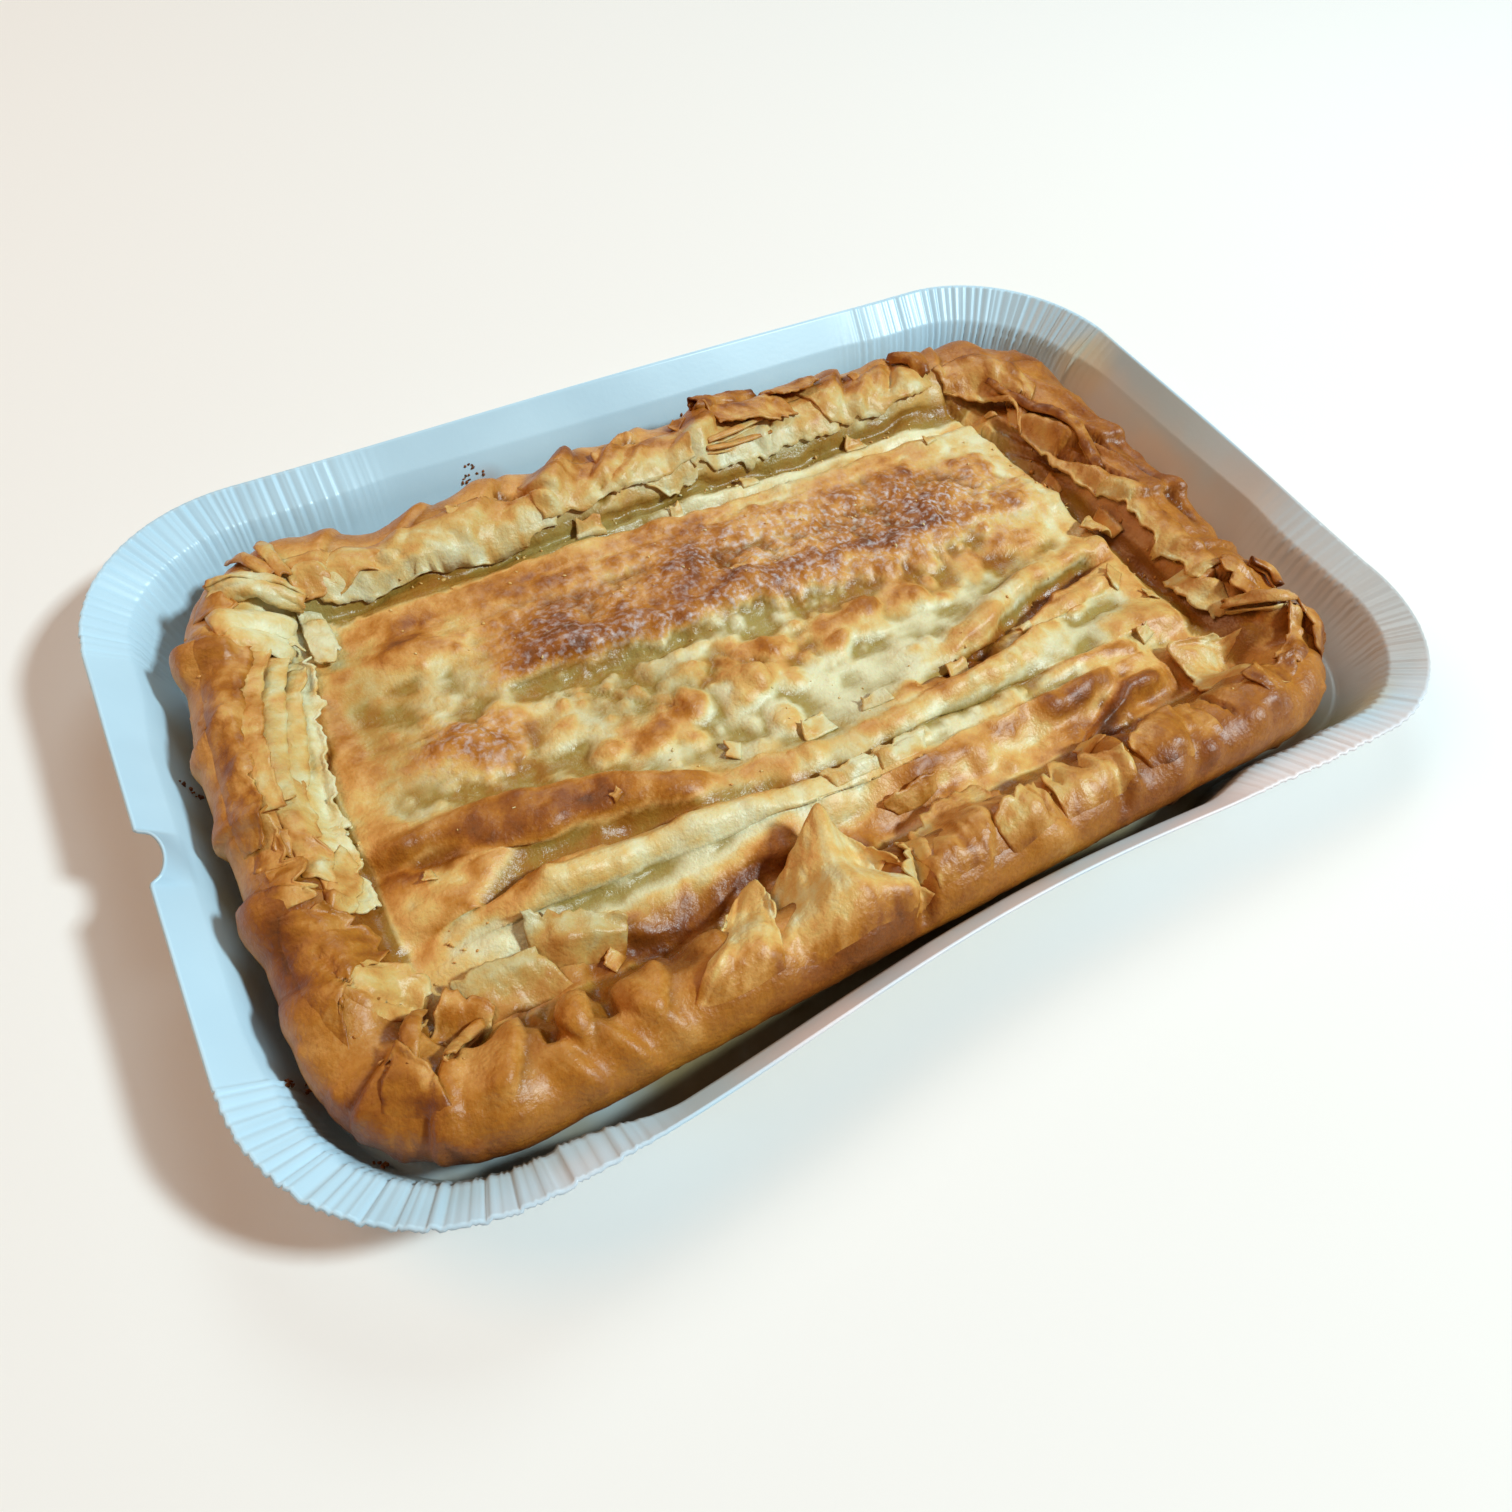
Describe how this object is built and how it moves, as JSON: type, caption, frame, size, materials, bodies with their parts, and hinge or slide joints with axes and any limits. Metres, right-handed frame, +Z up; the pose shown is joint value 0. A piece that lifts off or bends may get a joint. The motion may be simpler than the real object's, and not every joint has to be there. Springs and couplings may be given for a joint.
{
  "type": "mushroom pie",
  "caption": "Whole baked savoury pie of folded thin dough with a rolled rim and sunken lid, in its rounded white paperboard tray with pleated corners.",
  "frame": {"origin": "middle of the tray's length and width, on the flat underside of its floor", "axes": "+Z up, X along the tray's long sides, +Y towards the long side at the back of the picture; the finger notch is on the -X side"},
  "size_m": [0.3417, 0.2256, 0.034],
  "materials": {
    "board": "white coated paperboard, faint sheen",
    "crust": "baked oiled dough, golden to orange brown, stands in for food"
  },
  "bodies": {
    "root": {"tray": "board", "pie": "crust"}
  },
  "joints": []
}
